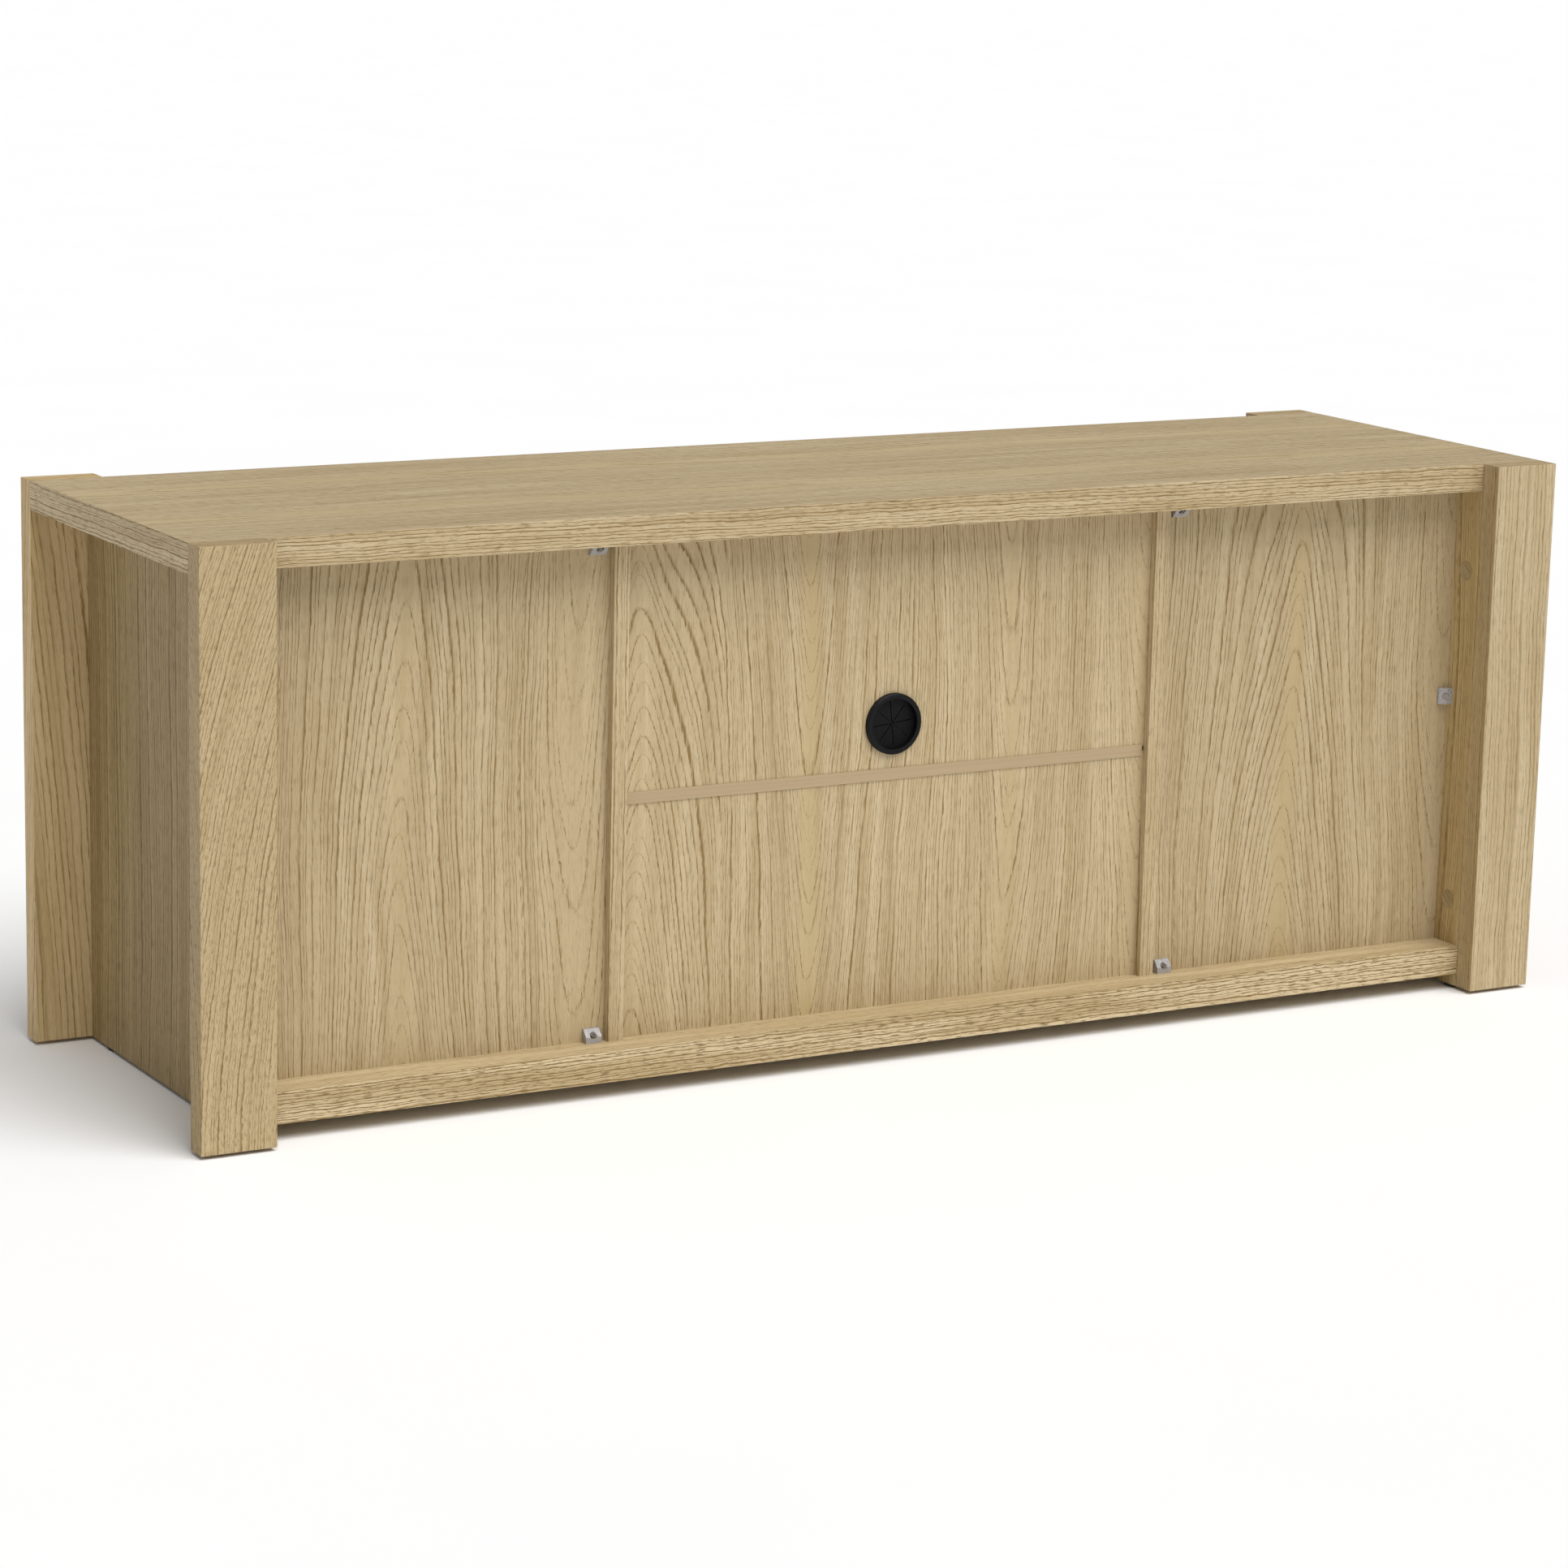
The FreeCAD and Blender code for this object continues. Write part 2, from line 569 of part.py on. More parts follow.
score_cut.Profile = score
score_cut.Reversed = True
score_cut.setExpression("Length", linked("score_depth"))
doc.recompute()
slit_ring = flap.newObject("PartDesign::PolarPattern", "slit_pattern")
slit_ring.Originals = [slit_cut, score_cut]
slit_ring.Axis = (disc, ["N_Axis"])
slit_ring.Angle = 360
slit_ring.setExpression("Occurrences", linked("slits"))
flap.Tip = slit_ring
place(flap, ("0", f"{BACK_REAR} + grommet_proud - 6", GROMMET_Z), Rotation(Y, 6.5))

# Shelves, the centre one flush with the partitions' front edges.
SHELF_LOW = f"({MIDDLE} - board / 2)"
SHELF_HIGH = f"({MIDDLE} + board / 2)"
SHELF_REAR = f"({BACK_FRONT} - 3)"
for name, sign in SIDES.items():
    ends = [times(sign, f"{OUTER_X} + shelf_play"), times(sign, f"{SIDE_FACE} - shelf_play")]
    if sign < 0:
        ends.reverse()
    Board(f"shelf_{name}", "flat", (ends[0], f"{PARTITION_FRONT} + 6", SHELF_LOW),
          (ends[1], SHELF_REAR, SHELF_HIGH), eased=True)
Board("shelf_centre", "flat", (f"shelf_play - {INNER_X}", PARTITION_FRONT, SHELF_LOW),
      (f"{INNER_X} - shelf_play", SHELF_REAR, SHELF_HIGH), eased=True)

# Doors, hung on the side panels and closing over the partitions' front edges.
DOOR_LOW = f"({ON_BOTTOM} + door_gap)"
DOOR_HIGH = f"({UNDER_TOP} - door_gap)"
DOOR_OUTER = f"({SIDE_FACE} - hinge_gap)"
KNOB_X = f"({INNER_X} + knob_inset)"
KNOB_Z = f"({UNDER_TOP} - 110)"
HINGE_LEVELS = [f"({DOOR_LOW} + hinge_inset)", f"({DOOR_HIGH} - hinge_inset)"]
BARREL_X = f"({SIDE_FACE} - 0.4 - barrel_dia / 2)"
BARREL_Y = f"(-{LEG_FACE} - 0.6 - barrel_dia / 2)"
for name, sign in SIDES.items():
    ends = [times(sign, INNER_X), times(sign, DOOR_OUTER)]
    if sign < 0:
        ends.reverse()
    door = Board(f"door_{name}", "upright", (ends[0], f"-{LEG_FACE}", DOOR_LOW),
                 (ends[1], DOOR_BACK, DOOR_HIGH), eased=True)
    door.bore("near", [(times(sign, KNOB_X), "0", KNOB_Z)], "4.6", "board")

# Loose pieces: fasteners and fittings, each shape drawn once about Z and set in place.
cam_radius = num("cam_dia / 2") - 0.15
cam_shape = rod(cam_radius, -num("cam_depth") + 0.3, -0.3)
mouth = Part.makeBox(cam_radius + 5, 7.6, 8.2, Vector(-3.8, -3.8, -12.4))
cross = Part.makeBox(7, 1.4, 2, Vector(-3.5, -0.7, -2)).fuse(
    Part.makeBox(1.4, 7, 2, Vector(-0.7, -3.5, -2)))
cam_shape = cam_shape.cut(mouth).cut(cross)
group("cam_locks", [set_at(cam_shape, spot, out, way) for spot, out, way in cams])

half_board = num("board / 2")
back = num("cam_back")
bolt_shape = rod(3.4, -3, 0).fuse(rod(2, 0, 5)).fuse(rod(3.4, 5, back))
bolt_shape = bolt_shape.fuse(rod(num("thread_bore") / 2 - 0.05, back, back + num("thread_depth") - 0.5))
bolts = []
for spot, out, way in cams:
    bolt = set_at(bolt_shape, spot, way, out)
    bolt.translate(out * -half_board)
    bolts.append(bolt)
group("cam_bolts", bolts)

cover_shape = rod(num("cover_dia / 2"), 0, num("cover_thick"))
covered = [c for c in cams if c[1].z == 0]
group("cam_covers", [set_at(cover_shape, spot, out, way) for spot, out, way in covered])

dowel_shape = rod(num("dowel_dia") / 2 - 0.05, -num("dowel_long"), num("dowel_short"))
dowel_shape = dowel_shape.makeChamfer(0.8, [e for e in dowel_shape.Edges if len(e.Vertexes) == 1])
group("dowels", [set_at(dowel_shape, spot, way, Vector(way.y, way.z, way.x)) for spot, way in dowels])

screw_shape = rod(5, 0.2, 3.5).fuse(rod(3.4, 3.5, num("bottom_thick")))
screw_shape = screw_shape.fuse(rod(num("thread_bore") / 2 - 0.05, num("bottom_thick"), 50))
screw_shape = screw_shape.cut(Part.makeBox(4, 4, 2.2, Vector(-2, -2, 0)))
group("partition_screws", [set_at(screw_shape, (partition_middle(s), y, UNDER_BOTTOM), Z, X)
                           for s in (-1, 1) for y in PARTITION_SCREW_Y])

glide_radius = num("glide_dia / 2")
glide_shape = Part.makeCone(glide_radius - 1, glide_radius, 1, Vector(0, 0, 0))
glide_shape = glide_shape.fuse(rod(glide_radius, 1, num("glide_height")))
glide_y = [f"glide_front - {LEG_FACE}", f"{LEG_FACE} - glide_rear"]
group("glides", [set_at(glide_shape, (side_middle(s), y, "0"), Z, X)
                 for s in (-1, 1) for y in glide_y])

pin_radius = num("pin_dia / 2")
pin_shape = rod(pin_radius - 0.05, 0.3, num("pin_depth")).fuse(rod(pin_radius + 1.2, -0.9, 0))
pin_shape = pin_shape.fuse(rod(pin_radius - 0.05, -0.1, 0.5)).fuse(rod(pin_radius - 0.05, -9, -0.9))
pin_z = PIN_LEVELS[2]
pins = []
for sign in (-1, 1):
    for y in SHELF_PIN_Y:
        pins.append(set_at(pin_shape, (times(sign, SIDE_FACE), y, pin_z), X * sign, Z))
        pins.append(set_at(pin_shape, (times(sign, OUTER_X), y, pin_z), X * -sign, Z))
    for y in CENTRE_PIN_Y:
        pins.append(set_at(pin_shape, (times(sign, INNER_X), y, pin_z), X * sign, Z))
group("shelf_pins", pins)

# Back clips: a wedge in the corner of a back panel and a board, with a slanting screw.
# Local Z points away from the back panel's rear face and X towards the board.
clip_w, clip_h, clip_t = num("clip_width"), num("clip_height"), num("clip_thick")
outline = Part.makePolygon([Vector(0, 0, 0), Vector(-clip_w, 0, 0), Vector(-clip_w, 0, 2.5),
                            Vector(-6, 0, clip_t), Vector(0, 0, clip_t), Vector(0, 0, 0)])
clip_shape = Part.Face(outline).extrude(Vector(0, clip_h, 0))
clip_shape.translate(Vector(0, -clip_h / 2, 0))
screw_way = Vector(1, 0, -0.4).normalize()
screw_base = Vector(-8, 0, clip_t - 0.8)
clip_shape = clip_shape.cut(Part.makeCylinder(1.9, 30, screw_base - screw_way * 8, screw_way))
clip_shape = clip_shape.cut(Part.makeCylinder(3.6, 12, screw_base - screw_way * 9.5, screw_way))
clip_screw = Part.makeCylinder(1.75, 18, screw_base, screw_way)
clip_screw = clip_screw.fuse(Part.makeCone(3.3, 1.75, 2, screw_base, screw_way))
for size, corner in (((4, 0.9, 1.2), (-2, -0.45, 0)), ((0.9, 4, 1.2), (-0.45, -2, 0))):
    slot = Part.makeBox(*size, Vector(*corner))
    slot.Placement = Placement(screw_base, Rotation(Z, screw_way))
    clip_screw = clip_screw.cut(slot)
clip_seats = []
for sign in (-1, 1):
    clip_seats.append(((times(sign, SIDE_FACE), BACK_REAR, f"{FLOOR} + clip_level"), X * sign))
    beside = times(sign, f"{OUTER_X} + clip_beside")
    clip_seats.append(((beside, BACK_REAR, ON_BOTTOM), Z * -1))
    clip_seats.append(((beside, BACK_REAR, UNDER_TOP), Z))
group("back_clips", [set_at(clip_shape, spot, Y, way) for spot, way in clip_seats])
group("back_clip_screws", [set_at(clip_screw, spot, Y, way) for spot, way in clip_seats])

# Door magnets in the partitions' front edges, and clear bumpers beside them.
magnet_spots = [(partition_middle(s), PARTITION_FRONT, MAGNET_Z) for s in (-1, 1)]
magnet_shape = rod(5, 0.1, 12)
group("door_magnets", [set_at(magnet_shape, spot, Y, X) for spot in magnet_spots])
bumper_shape = rod(4, -1.4, 0)
bumper_levels = [f"{ON_BOTTOM} + 40", f"{UNDER_TOP} - 60"]
group("door_bumpers", [set_at(bumper_shape, (partition_middle(s), PARTITION_FRONT, z), Y, X)
                       for s in (-1, 1) for z in bumper_levels])

# Butt hinges. Local Z is the pin's axis, X points at the side panel and Y into the cabinet.
leaf = num("leaf_thick")
barrel = num("barrel_dia") / 2
pin_r = num("hinge_pin") / 2
tall = num("hinge_height")
knuckle = tall / 3
reach = num(f"{DOOR_BACK} - {BARREL_Y}") - 1.5
side_x = num(f"{SIDE_FACE} - {BARREL_X}")
door_x = num(f"{DOOR_OUTER} - {BARREL_X}")
screw_y = reach - 6.5


def leaf_plate(x_low, x_high, knuckles, bore):
    plate = Part.makeBox(x_high - x_low, reach, tall, Vector(x_low, 0, -tall / 2))
    web = Part.makeBox(x_high - min(0, x_low), 1, tall, Vector(min(0, x_low), barrel - 1.6, -tall / 2))
    ring_shape = rod(barrel, -tall / 2, tall / 2)
    shape = plate.fuse(ring_shape)
    for low_z, high_z in knuckles:
        gap = Part.makeCylinder(barrel + 0.25, high_z - low_z, Vector(0, 0, low_z))
        shape = shape.cut(gap)
    return shape.cut(rod(bore, -tall, tall))


frame_leaf = leaf_plate(side_x - leaf, side_x, [(-knuckle / 2 - 0.2, knuckle / 2 + 0.2)], pin_r + 0.02)
door_leaf = leaf_plate(door_x, door_x + leaf,
                       [(-tall, 0.2 - knuckle / 2 - 0.2), (knuckle / 2, tall)], pin_r + 0.08)
hinge_screw = Part.makeCone(2.7, 1.5, 1, Vector(0, 0, 0.05), Z).fuse(rod(1.5, 1, 13))
screw_room = Part.makeCone(2.8, 1.6, 1, Vector(0, 0, 0), Z)


def screw_holes(shape, x, way):
    for z in (-tall / 3, tall / 3):
        room = screw_room.copy()
        room.Placement = Placement(Vector(x, screw_y, z), Rotation(Z, way))
        shape = shape.cut(room)
    return shape


frame_leaf = screw_holes(frame_leaf, side_x - leaf, X)
door_leaf = screw_holes(door_leaf, door_x + leaf, X * -1)
knob_shape = Part.makeCone(5, 4, 6, Vector(0, 0, 0)).fuse(rod(4, 5.5, 10))
knob_head = Part.makeCylinder(num("knob_dia / 2"), num("knob_length") - 9, Vector(0, 0, 9))
knob_head = knob_head.makeFillet(1.5, [e for e in knob_head.Edges if len(e.Vertexes) == 1])
knob_shape = knob_shape.fuse(knob_head).removeSplitter().cut(rod(2.05, -1, 14))
knob_screw = rod(4, -1.8, 0).fuse(rod(2, -0.1, num("board") + 12))
knob_screw = knob_screw.cut(Part.makeBox(5, 0.9, 1, Vector(-2.5, -0.45, -1.9)))
plate_shape = rod(6, 0, 0.8)

for name, sign in SIDES.items():
    seats = [point(times(sign, BARREL_X), BARREL_Y, z) for z in HINGE_LEVELS]

    def hang(shape):
        pieces = []
        for seat in seats:
            piece = shape.copy() if sign > 0 else shape.mirror(Vector(), X)
            piece.translate(seat)
            pieces.append(piece)
        return pieces

    def hinge_screws(x, way):
        pieces = []
        for z in (-tall / 3, tall / 3):
            piece = hinge_screw.copy()
            piece.Placement = Placement(Vector(x, screw_y, z), Rotation(Z, way))
            pieces += hang(piece)
        return pieces

    group(f"hinge_frame_leaves_{name}", hang(frame_leaf))
    group(f"hinge_door_leaves_{name}", hang(door_leaf))
    group(f"hinge_pins_{name}", hang(rod(pin_r, -tall / 2 - 0.5, tall / 2 + 0.5)))
    group(f"hinge_frame_screws_{name}", hinge_screws(side_x - leaf, X))
    group(f"hinge_door_screws_{name}", hinge_screws(door_x + leaf, X * -1))
    knob_spot = (times(sign, KNOB_X), f"-{LEG_FACE}", KNOB_Z)
    group(f"knob_{name}", [set_at(knob_shape, knob_spot, Y * -1, Z)])
    screw_spot = (times(sign, KNOB_X), DOOR_BACK, KNOB_Z)
    group(f"knob_screw_{name}", [set_at(knob_screw, screw_spot, Y * -1, Z)])
    plate_spot = (partition_middle(sign), DOOR_BACK, MAGNET_Z)
    group(f"magnet_plate_{name}", [set_at(plate_shape, plate_spot, Y, X)])

doc.recompute()

os.makedirs("parts", exist_ok=True)
for item in doc.Objects:
    if "Invalid" in item.State or "Error" in item.State:
        raise RuntimeError(f"{item.Label} did not recompute: {item.State}")
nodes = [o for o in doc.Objects if o.TypeId in ("PartDesign::Body", "Part::Feature")]
for node in nodes:
    shape = node.Shape
    if shape.isNull() or not shape.isValid() or not shape.Solids:
        raise RuntimeError(f"{node.Label} has no valid solid")
    shape.exportStep(f"parts/{node.Label}.step")
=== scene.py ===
import math
from collections import namedtuple

import bpy
from mathutils import Matrix, Vector

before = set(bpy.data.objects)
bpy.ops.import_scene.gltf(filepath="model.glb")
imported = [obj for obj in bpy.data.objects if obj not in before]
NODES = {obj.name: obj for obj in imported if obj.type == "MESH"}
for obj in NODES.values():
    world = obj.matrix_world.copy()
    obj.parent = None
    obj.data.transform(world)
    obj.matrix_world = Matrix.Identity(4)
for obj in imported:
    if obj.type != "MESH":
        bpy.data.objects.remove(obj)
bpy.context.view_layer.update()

scene = bpy.context.scene


# ---------------------------------------------------------------- node helpers
class Graph:
    """A material's node tree, built by short calls that return output sockets."""

    def __init__(self, name):
        self.material = bpy.data.materials.new(name)
        self.material.use_nodes = True
        self.tree = self.material.node_tree
        self.tree.nodes.clear()

    def node(self, kind, settings=None, **inputs):
        made = self.tree.nodes.new(kind)
        for key, value in (settings or {}).items():
            setattr(made, key, value)
        for key, value in inputs.items():
            self.feed(made.inputs[key.replace("_", " ")], value)
        return made

    def feed(self, socket, value):
        if isinstance(value, bpy.types.NodeSocket):
            self.tree.links.new(value, socket)
        else:
            socket.default_value = value

    def math(self, operation, a, b=0.0, c=0.0, clamp=False):
        made = self.tree.nodes.new("ShaderNodeMath")
        made.operation = operation
        made.use_clamp = clamp
        for socket, value in zip(made.inputs, (a, b, c)):
            self.feed(socket, value)
        return made.outputs[0]

    def vector(self, operation, a, b=(0, 0, 0)):
        made = self.tree.nodes.new("ShaderNodeVectorMath")
        made.operation = operation
        self.feed(made.inputs[0], a)
        self.feed(made.inputs[1], b)
        return made.outputs[0]

    def scaled(self, vector, factor):
        made = self.vector("SCALE", vector)
        self.feed(made.node.inputs["Scale"], factor)
        return made

    def split(self, vector):
        return self.node("ShaderNodeSeparateXYZ", Vector=vector).outputs

    def join(self, x, y, z):
        return self.node("ShaderNodeCombineXYZ", X=x, Y=y, Z=z).outputs[0]

    def object_place(self):
        return self.node("ShaderNodeTexCoord").outputs["Object"]

    def noise(self, vector, scale, detail):
        made = self.node("ShaderNodeTexNoise", Vector=vector, Scale=scale, Detail=detail)
        return made.outputs["Fac"]

    def ramp(self, value, low, high, out_low=0.0, out_high=1.0):
        made = self.node("ShaderNodeMapRange", {"interpolation_type": "SMOOTHSTEP"})
        for socket, item in zip(made.inputs, (value, low, high, out_low, out_high)):
            self.feed(socket, item)
        return made.outputs[0]

    def blend(self, factor, a, b, kind="MIX"):
        made = self.node("ShaderNodeMix", {"data_type": "RGBA", "blend_type": kind})
        self.feed(made.inputs[0], factor)
        self.feed(made.inputs[6], a)
        self.feed(made.inputs[7], b)
        return made.outputs[2]

    def bump(self, height, strength, distance):
        made = self.node("ShaderNodeBump", Height=height, Strength=strength, Distance=distance)
        return made.outputs[0]

    def surface(self, **inputs):
        shader = self.node("ShaderNodeBsdfPrincipled", **inputs)
        out = self.tree.nodes.new("ShaderNodeOutputMaterial")
        self.tree.links.new(shader.outputs[0], out.inputs[0])
        return self.material


def linear(red, green, blue):
    """An 8-bit display colour as a linear one."""
    def one(value):
        value /= 255
        return value / 12.92 if value <= 0.04045 else ((value + 0.055) / 1.055) ** 2.4
    return (one(red), one(green), one(blue), 1.0)


def darker(colour, share):
    return tuple(channel * share for channel in colour[:3]) + (1.0,)


# ---------------------------------------------------------------- oak foil
AXES = {"x": 0, "y": 1, "z": 2}
FACING = 0.7           # a face looks along an axis when its normal's share is above this
EDGE_SHIFT = 0.61      # metres: long edges and end edges take their figure from
END_SHIFT = 0.47       # another part of the foil than the broad faces
SLICE_RATE = 3.0       # how fast the figure changes from one face to the one behind it
SEED_RATE = 5.3        # and from one board to the next

# The foil's figure. Pairs are noise cells per metre along and across the grain.
WIDE_WAVE = (2.6, 6.0)
TIGHT_WAVE = (19.0, 40.0)
EDGE_SWING = 0.004     # metres that the wide wave bends the grain by, on edges
FACE_SWING = 0.024     # and how much more on broad faces
TIGHT_SWING = 0.0034
STREAK = (10.0, 420.0)    # long fine streaks
DASH = (70.0, 1300.0)     # short pores
PATCH = (2.4, 60.0)       # broad pale and dark patches
TIP_WIDTH = 0.05       # metres from a leaf's middle over which its rings narrow fastest
FAR_TAPER = 0.15       # share of the narrowing that is left far from the middle
LEAF_STEP = 57.0       # rings between neighbouring leaves, so that they don't match
THINNEST = 0.09        # line width at an arch's tip, as a share of the full width
EDGE_RINGS = 1.5       # how much finer the rings are on edges
UNEVEN_RATE = 0.31     # uneven ring spacing: noise cells per ring
UNEVEN = 2.6           # and its strength, in rings
RAGGED = 0.35          # how ragged the ring lines are, in rings
PORE_LEVEL = 0.575     # dash noise above this is an open pore
PORE_SOFT = 0.07

# Where things rise or fade. The line and the early wood go by the place within a ring,
# breaks and streaks by the streak noise, clear wood by how close a leaf's middle is.
LINE_RISE = (0.0, 0.06)
LINE_FADE = (0.10, 0.30)
EARLY_WOOD = (0.05, 0.75)
LINE_BREAKS = (0.38, 0.54)
STREAKS = (0.52, 0.80)
CLEAR_WOOD = (0.45, 0.95)

FAINTEST_LINE = 0.5    # the faintest ring's line, as a share of the darkest one's
BROKEN_LINE = 0.35     # what is left of a line in its breaks
LINE_INK = 1.4
PORE_INK = 0.34
STREAK_INK = 0.25
LINE_DEPTH = 0.6       # a ring line's depth over a pore's, for the bump

# 8-bit display colours of the foil's print
DARK_GROUND = (180, 159, 120)
PALE_GROUND = (203, 184, 148)
CLEAR_GROUND = (189, 167, 123)
STREAK_BROWN = (160, 137, 96)
RING_BROWN = (136, 110, 63)
PORE_BROWN = (122, 99, 62)
WARM_GREEN, WARM_BLUE = 0.03, 0.12    # what a warm of 1 takes from green and blue; some boards use warm for painted warm shade
# painted shade: a brown tint multiplied into the legs' edges, for the shade on their narrow
# faces
EDGE_SHADE_TINT = (1.0, 0.95, 0.86)

Leaf = namedtuple("Leaf", "middle round taper spacing clear")


def board_coordinates(g, grain, face, seed):
    """Metres along the grain and across it on every face of a board, from object space.

    grain is the board's grain direction and face the way its broad faces look. The end
    edges have their grain along the edge. Also returns 1 on broad faces and 0 on edges.
    """
    coordinate = g.node("ShaderNodeTexCoord")
    place = g.split(coordinate.outputs["Object"])
    normal = g.split(coordinate.outputs["Normal"])
    along, broad = AXES[grain], AXES[face]
    across = 3 - along - broad
    masks = [g.math("GREATER_THAN", g.math("ABSOLUTE", normal[i]), FACING) for i in range(3)]
    faces = ((broad, along, across, 0.0),
             (across, along, broad, EDGE_SHIFT),
             (along, across, broad, END_SHIFT))
    total = None
    for looks, u, v, shift in faces:
        depth = g.math("MULTIPLY_ADD", place[looks], SLICE_RATE, seed * SEED_RATE + looks)
        here = g.join(place[u], g.math("ADD", place[v], shift), depth)
        part = g.scaled(here, masks[looks])
        total = part if total is None else g.vector("ADD", total, part)
    return total, masks[broad]


def leaf_rings(g, leaf, index, along, bent):
    """One leaf's ring phase, its share of pore lines, and its line width."""
    side = g.math("SUBTRACT", bent, leaf.middle)
    reach = g.math("SQRT", g.math("MULTIPLY_ADD", side, side, leaf.round * leaf.round))
    near = g.math("MULTIPLY", g.math("MULTIPLY", side, side), -0.5 / TIP_WIDTH ** 2)
    near = g.math("MULTIPLY_ADD", g.math("EXPONENT", near), leaf.taper, leaf.taper * FAR_TAPER)
    ring = g.math("MULTIPLY_ADD", along, near, reach)
    ring = g.math("MULTIPLY_ADD", ring, 1000.0 / leaf.spacing, index * LEAF_STEP)
    share = g.ramp(g.math("DIVIDE", leaf.round, reach), *CLEAR_WOOD, 1.0, 1.0 - leaf.clear)
    width = g.math("MAXIMUM", g.math("DIVIDE", g.math("ABSOLUTE", side), reach), THINNEST)
    return ring, share, width


def oak(name, grain, face, seed, leaves=(Leaf(0.0, 0.02, 0.05, 4.7, 0.6),), joints=(), lean=0.0,
        curve=0.0, cloud=1.8, lines=1.0, dashes=1.0, edge=0.8, sway=1.0, length=1.0, tone=1.0,
        warm=0.0, edge_tone=1.0):
    """Light oak foil: veneer leaves side by side with cathedral figure, pore lines and dashes.

    Each Leaf says where its figure's middle runs across the board, how round its arches'
    tips are in metres, how fast the growth rings narrow along the grain, the ring spacing
    in mm, and how plain its middle is. joints are where one leaf ends and the next begins.

    lean is the slope of the grain, and curve how much that slope grows along the board.
    cloud, lines and dashes are the strengths of the broad patches, ring lines and pores.
    edge is how much stronger the figure is on edges, sway how much the grain wanders, and
    length how long the streaks and pores are. tone darkens or lightens the whole board and
    warm shifts it to brown; on some boards below they paint shade or light. edge_tone
    darkens the edges and shifts them to brown: painted shade.
    """
    g = Graph(name)
    place, broad = board_coordinates(g, grain, face, seed)
    along, across, depth = g.split(place)

    def grain_noise(v, cells, detail, rough=0.5, stretch=1.0):
        spot = g.join(g.math("MULTIPLY_ADD", along, cells[0] / stretch, depth),
                      g.math("MULTIPLY_ADD", v, cells[1], depth), 0.0)
        made = g.node("ShaderNodeTexNoise", {"noise_dimensions": "2D"}, Vector=spot, Scale=1.0,
                      Detail=detail, Roughness=rough)
        return made.outputs["Fac"]

    bent = g.math("MULTIPLY_ADD", along, g.math("MULTIPLY_ADD", along, curve, lean), across)
    wide = grain_noise(across, WIDE_WAVE, 1.0, 0.4)
    tight = grain_noise(across, TIGHT_WAVE, 2.0)
    swing = g.math("MULTIPLY_ADD", broad, FACE_SWING * sway, EDGE_SWING * sway)
    bent = g.math("MULTIPLY_ADD", g.math("SUBTRACT", wide, 0.5), swing, bent)
    bent = g.math("MULTIPLY_ADD", g.math("SUBTRACT", tight, 0.5), TIGHT_SWING, bent)

    streak = grain_noise(bent, STREAK, 2.0, 0.6, length)
    dash = grain_noise(bent, DASH, 2.0, 0.6, length)
    patch = grain_noise(bent, PATCH, 2.0, 0.6)

    rings, share, width = leaf_rings(g, leaves[0], 0, along, bent)
    for index, (leaf, joint) in enumerate(zip(leaves[1:], joints), start=1):
        past = g.math("GREATER_THAN", across, joint)
        rings, share, width = (
            g.math("MULTIPLY_ADD", g.math("SUBTRACT", new, old), past, old)
            for new, old in zip(leaf_rings(g, leaf, index, along, bent), (rings, share, width)))
    rings = g.math("MULTIPLY", rings,
                   g.math("MULTIPLY_ADD", broad, 1.0 - EDGE_RINGS, EDGE_RINGS))
    uneven = g.node("ShaderNodeTexNoise", {"noise_dimensions": "1D"}, W=rings,
                    Scale=UNEVEN_RATE, Detail=1.0).outputs["Fac"]
    rings = g.math("MULTIPLY_ADD", uneven, UNEVEN, rings)
    rings = g.math("MULTIPLY_ADD", dash, RAGGED, rings)
    each = g.node("ShaderNodeTexWhiteNoise", {"noise_dimensions": "1D"},
                  W=g.math("FLOOR", rings)).outputs["Value"]

    # In one ring: a line that rises fast and fades, then early wood with more open pores.
    within = g.math("DIVIDE", g.math("FRACT", rings), width)
    line = g.math("MULTIPLY", g.ramp(within, *LINE_RISE), g.ramp(within, *LINE_FADE, 1.0, 0.0))
    line = g.math("MULTIPLY", line,
                  g.math("MULTIPLY_ADD", each, 1.0 - FAINTEST_LINE, FAINTEST_LINE))
    line = g.math("MULTIPLY", line, g.ramp(streak, *LINE_BREAKS, BROKEN_LINE, 1.0))
    early = g.ramp(within, *EARLY_WOOD, 1.0, 0.0)
    opens = g.math("MULTIPLY_ADD", early, -PORE_SOFT, PORE_LEVEL)
    pores = g.ramp(dash, opens, g.math("ADD", opens, PORE_SOFT))

    def shade(red, green, blue):
        return linear(red * tone, green * tone * (1 - WARM_GREEN * warm),
                      blue * tone * (1 - WARM_BLUE * warm))

